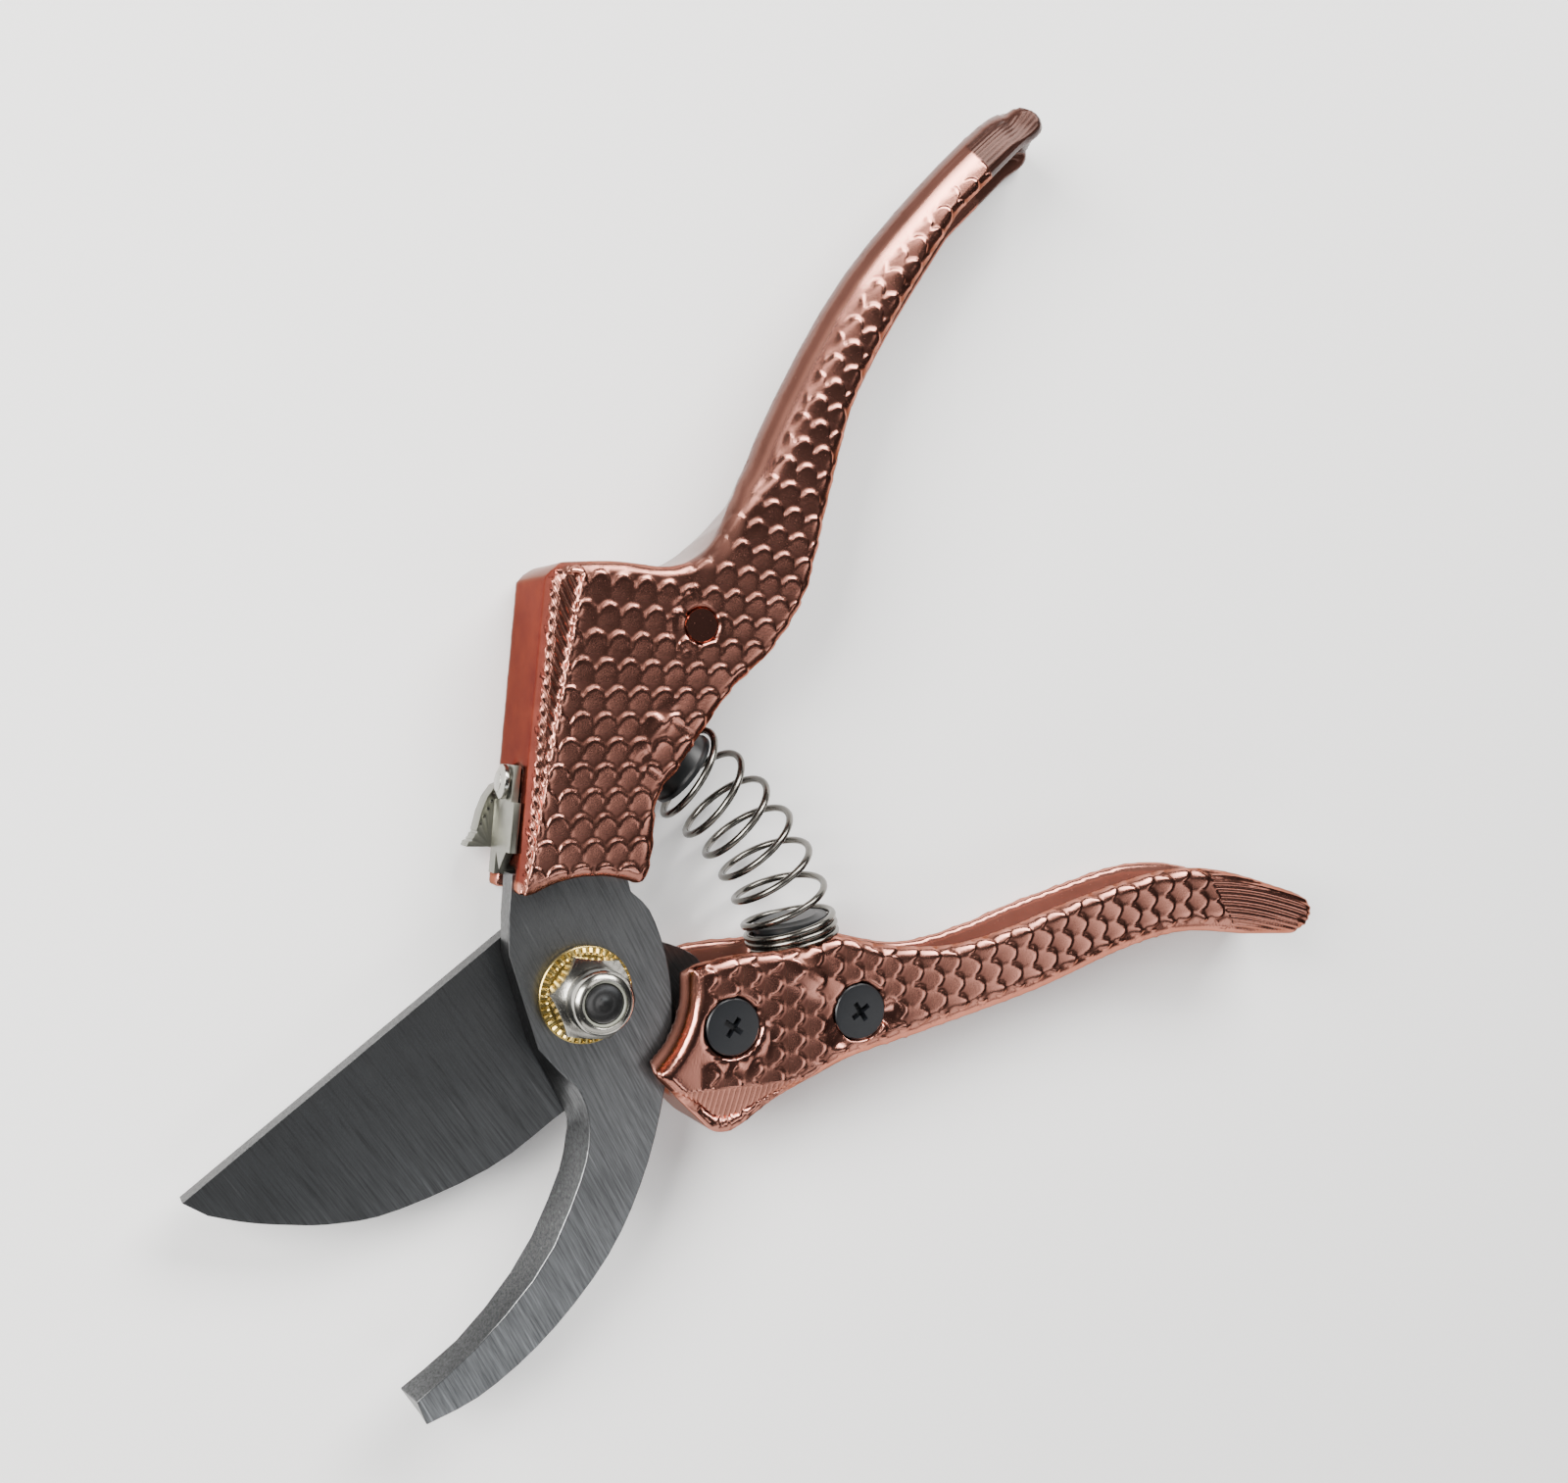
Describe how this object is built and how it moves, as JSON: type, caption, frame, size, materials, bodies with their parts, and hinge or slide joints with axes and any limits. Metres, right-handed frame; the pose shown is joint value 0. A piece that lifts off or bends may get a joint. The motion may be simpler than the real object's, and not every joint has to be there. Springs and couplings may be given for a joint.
{
  "type": "bypass pruning shears",
  "caption": "Bypass pruning shears with copper-toned channel handles in scale relief, a hooked counter blade, a bowed coil spring and a sliding thumb catch.",
  "frame": {"origin": "on the pivot's axis, at the back face of the pivot bolt's head, with the shears open", "axes": "+Z out of the front along the pivot, +X along the lower handle, +Y toward the upper handle"},
  "size_m": [0.1955, 0.2025, 0.0236],
  "materials": {
    "copper_plate": "bright copper plate on a die casting",
    "blade_steel": "dark brushed",
    "nickel": "satin nickel",
    "yellow_zinc": "satin yellow",
    "spring_wire": "drawn wire, dark nickel",
    "black_oxide": "black, semi-matte",
    "black_plastic": "semi-matte",
    "nylon": "matte"
  },
  "bodies": {
    "lower_body": {"lower_handle": "copper_plate", "blade": "blade_steel", "front_handle_screw": "black_oxide", "rear_handle_screw": "black_oxide", "front_screw_nut": "black_oxide", "rear_screw_nut": "black_oxide", "lower_spring_seat": "black_plastic", "pivot_bolt": "blade_steel", "back_washer": "nickel", "pivot_bush": "yellow_zinc", "pivot_lock_nut": "nickel", "lock_nut_insert": "nylon", "serrated_washer": "yellow_zinc", "return_spring": "spring_wire"},
    "upper_body": {"upper_handle": "copper_plate", "hook_blade": "blade_steel", "upper_tang_rivet": "copper_plate", "upper_spring_seat": "black_plastic"},
    "catch": {"catch_slide": "nickel", "catch_rivet": "nickel", "catch_spring_washer": "nickel"}
  },
  "joints": [
    {"name": "pivot", "type": "hinge", "parent": "lower_body", "child": "upper_body", "pos_m": [0, 0, 0.01], "axis": [0, 0, -1], "range_deg": [0, 40], "stiffness_Nm_per_rad": 0.9, "springref_deg": -20.05, "deforming": ["return_spring"]},
    {"name": "catch_slide", "type": "slide", "parent": "upper_body", "child": "catch", "axis": [-0.0982, -0.9952, 0], "range_m": [0, 0.005]}
  ]
}
